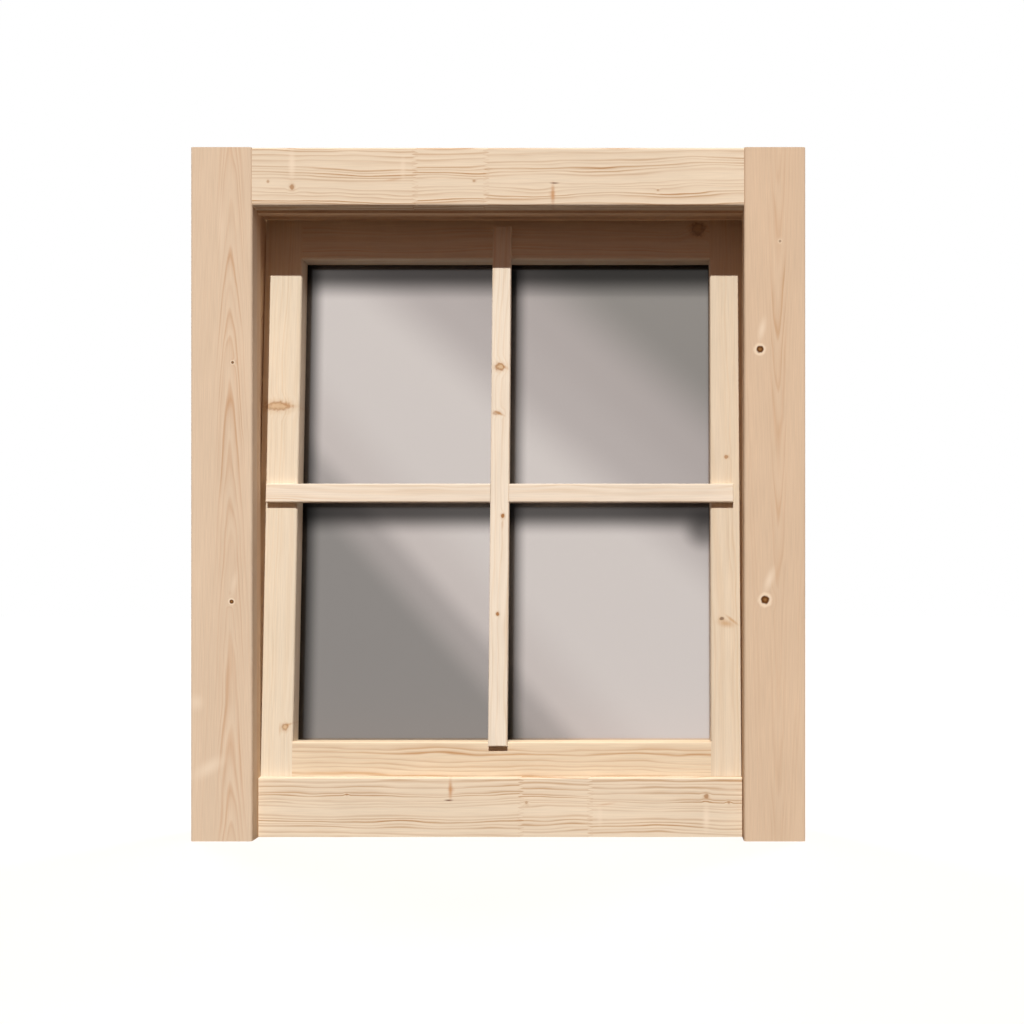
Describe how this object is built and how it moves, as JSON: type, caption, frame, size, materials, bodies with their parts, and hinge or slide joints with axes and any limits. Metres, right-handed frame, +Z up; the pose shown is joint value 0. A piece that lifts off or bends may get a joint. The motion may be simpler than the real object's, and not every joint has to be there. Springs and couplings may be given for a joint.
{
  "type": "tilting timber shed window with glazing-bar cross, single light, mounted in a 38 mm wall",
  "caption": "Timber shed window with broad casings, a glazed sash leaned back for airing, a cross of glazing bars and a lever handle.",
  "frame": {"origin": "centre of the sill's underside, in the middle plane of the wall", "axes": "+X to the right as seen from outdoors, +Y into the building, +Z up"},
  "size_m": [0.7, 0.1334, 0.79],
  "materials": {
    "casing_wood": "planed, untreated",
    "frame_wood": "planed, untreated",
    "sash_wood": "planed, untreated",
    "bar_wood": "planed, untreated",
    "window_glass": "clear",
    "handle_metal": "satin",
    "hardware_metal": "zinc plated"
  },
  "bodies": {
    "root": {"outer_casing_left": "casing_wood", "outer_casing_right": "casing_wood", "outer_casing_head": "casing_wood", "inner_casing_left": "casing_wood", "inner_casing_right": "casing_wood", "inner_casing_head": "casing_wood", "frame_jamb_left": "frame_wood", "frame_jamb_right": "frame_wood", "frame_head": "frame_wood", "frame_sill": "frame_wood", "sash_stile_left": "sash_wood", "sash_stile_right": "sash_wood", "sash_top_rail": "sash_wood", "sash_bottom_rail": "sash_wood", "glazing_bead_left": "sash_wood", "glazing_bead_right": "sash_wood", "glazing_bead_top": "sash_wood", "glazing_bead_bottom": "sash_wood", "glazing_bar_upright": "bar_wood", "glazing_bar_cross": "bar_wood", "glass_pane": "window_glass", "handle_rosette": "handle_metal", "handle_lever": "handle_metal", "corner_hinge_frame": "hardware_metal", "corner_hinge_sash": "hardware_metal", "stay_bracket_frame": "hardware_metal", "stay_bracket_sash": "hardware_metal", "stay_arm": "hardware_metal", "lock_faceplate": "hardware_metal", "striker_plate": "hardware_metal"}
  },
  "joints": []
}
